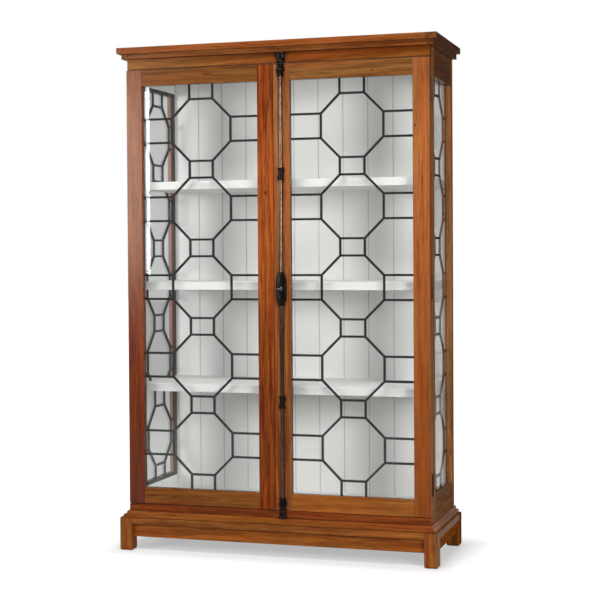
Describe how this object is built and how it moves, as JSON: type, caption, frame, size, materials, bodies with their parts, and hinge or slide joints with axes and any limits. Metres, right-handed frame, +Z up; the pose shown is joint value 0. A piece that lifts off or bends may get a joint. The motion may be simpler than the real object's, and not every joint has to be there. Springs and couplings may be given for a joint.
{
  "type": "display cabinet",
  "caption": "Tall display cabinet with a stepped cornice, glazed doors and sides over steel octagon grilles, a boarded white inside, shelves and a door bolt.",
  "frame": {"origin": "on the floor, under the middle of the whole cabinet with its door knob", "axes": "+X to the right across the front, +Y from the doors to the back, +Z up; millimetres in the source, metres in the row"},
  "size_m": [1.479, 0.564, 2.286],
  "materials": {
    "oiled_hardwood": "oiled reddish-brown hardwood with an open grain",
    "white_paint": "white painted boards, satin",
    "clear_glass": "clear sheet glass",
    "black_steel": "near-black painted steel",
    "dark_bronze": "dark brown patinated bronze",
    "pin_steel": "plain steel pins"
  },
  "bodies": {
    "carcass": {"cornice_front": "oiled_hardwood", "cornice_left": "oiled_hardwood", "cornice_right": "oiled_hardwood", "frieze_rail": "oiled_hardwood", "base_rail": "oiled_hardwood", "base_moulding_front": "oiled_hardwood", "base_moulding_left": "oiled_hardwood", "base_moulding_right": "oiled_hardwood", "leg_front_left": "oiled_hardwood", "leg_front_right": "oiled_hardwood", "leg_rear_left": "oiled_hardwood", "leg_rear_right": "oiled_hardwood", "plinth_bands": "oiled_hardwood", "apron_front": "oiled_hardwood", "apron_left": "oiled_hardwood", "apron_right": "oiled_hardwood", "apron_rear": "oiled_hardwood", "left_side_front_stile": "oiled_hardwood", "left_side_rear_stile": "oiled_hardwood", "left_side_top_rail": "oiled_hardwood", "left_side_bottom_rail": "oiled_hardwood", "right_side_front_stile": "oiled_hardwood", "right_side_rear_stile": "oiled_hardwood", "right_side_top_rail": "oiled_hardwood", "right_side_bottom_rail": "oiled_hardwood", "top_panel": "white_paint", "floor_panel": "white_paint", "back_boards": "white_paint", "shelf_upper": "white_paint", "shelf_middle": "white_paint", "shelf_lower": "white_paint", "left_side_glass": "clear_glass", "right_side_glass": "clear_glass", "left_side_grille": "black_steel", "right_side_grille": "black_steel", "hinge_frame_leaves": "dark_bronze", "hinge_pins": "dark_bronze", "bolt_keepers": "dark_bronze", "shelf_pins": "pin_steel"},
    "left_door": {"left_door_hinge_stile": "oiled_hardwood", "left_door_meeting_stile": "oiled_hardwood", "left_door_top_rail": "oiled_hardwood", "left_door_bottom_rail": "oiled_hardwood", "left_door_glass": "clear_glass", "left_door_grille": "black_steel", "left_door_hinge_leaves": "dark_bronze"},
    "right_door": {"right_door_hinge_stile": "oiled_hardwood", "right_door_meeting_stile": "oiled_hardwood", "right_door_top_rail": "oiled_hardwood", "right_door_bottom_rail": "oiled_hardwood", "right_door_glass": "clear_glass", "right_door_grille": "black_steel", "right_door_hinge_leaves": "dark_bronze", "cremone_case": "dark_bronze", "cremone_guides": "dark_bronze", "cremone_screws": "dark_bronze"},
    "cremone_knob": {"cremone_knob": "dark_bronze", "cremone_crank": "dark_bronze"},
    "upper_rod": {"upper_rod": "dark_bronze"},
    "lower_rod": {"lower_rod": "dark_bronze"}
  },
  "joints": [
    {"name": "left_door_hinge", "type": "hinge", "parent": "carcass", "child": "left_door", "pos_m": [-0.7025, -0.193, 1.199], "axis": [0, 0, -1], "range_deg": [0, 170]},
    {"name": "right_door_hinge", "type": "hinge", "parent": "carcass", "child": "right_door", "pos_m": [0.7025, -0.193, 1.199], "axis": [0, 0, 1], "range_deg": [0, 170]},
    {"name": "knob_turn", "type": "hinge", "parent": "right_door", "child": "cremone_knob", "pos_m": [0.0355, -0.23, 1.192], "axis": [0, -1, 0], "range_deg": [0, 90]},
    {"name": "upper_bolt", "type": "slide", "parent": "right_door", "child": "upper_rod", "axis": [0, 0, 1], "range_m": [0, 0.01414]},
    {"name": "lower_bolt", "type": "slide", "parent": "right_door", "child": "lower_rod", "axis": [0, 0, -1], "range_m": [0, 0.0142]}
  ],
  "couplings": [
    {"joint": "knob_turn", "follows": "upper_bolt", "rad_per_m": 111.07},
    {"joint": "lower_bolt", "follows": "upper_bolt", "ratio": 1}
  ]
}
